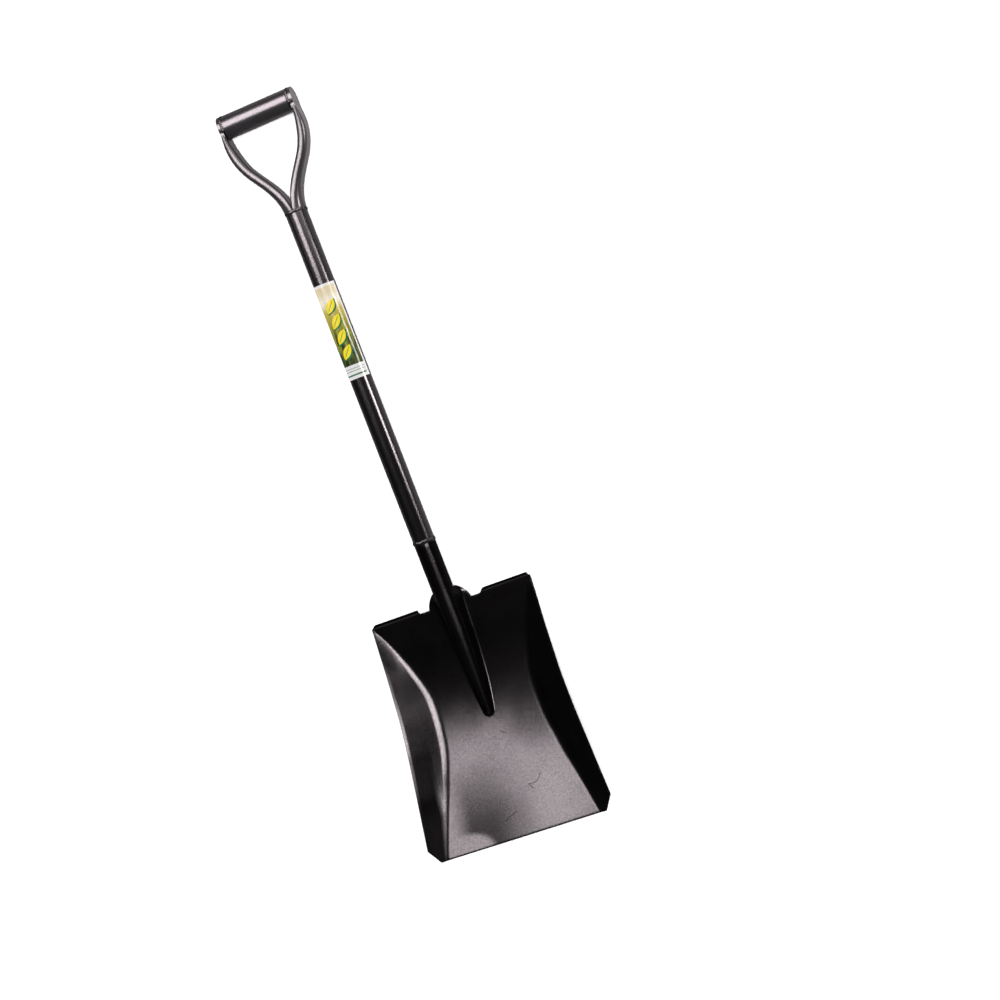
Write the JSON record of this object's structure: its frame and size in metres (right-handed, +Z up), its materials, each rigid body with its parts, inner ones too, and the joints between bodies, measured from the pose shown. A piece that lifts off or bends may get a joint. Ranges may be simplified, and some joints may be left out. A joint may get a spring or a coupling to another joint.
{
  "type": "square-mouth shovel",
  "caption": "All-steel square-mouth shovel: pressed pan blade with folded treads and a centre ridge, straight tube shaft and welded Y grip.",
  "frame": {"origin": "on the ground under the middle of the overall length, with the shovel lying on its back", "axes": "+Z up (face of the blade up), +Y along the shaft towards the grip, X across"},
  "size_m": [0.246, 0.964, 0.0862],
  "materials": {
    "black_paint": "semi-gloss black-graphite stoving paint over pressed steel, fine grain",
    "grip_paint": "semi-gloss graphite paint over drawn steel tube",
    "weld_paint": "graphite paint over lumpy weld beads",
    "label_film": null
  },
  "bodies": {
    "root": {"blade": "black_paint", "shaft_tube": "black_paint", "arm_left": "grip_paint", "arm_right": "grip_paint", "grip_tube": "grip_paint", "socket_weld": "weld_paint", "socket_seam_weld": "weld_paint", "yoke_weld": "weld_paint", "grip_weld_left": "weld_paint", "grip_weld_right": "weld_paint", "shaft_label": "label_film"}
  },
  "joints": []
}
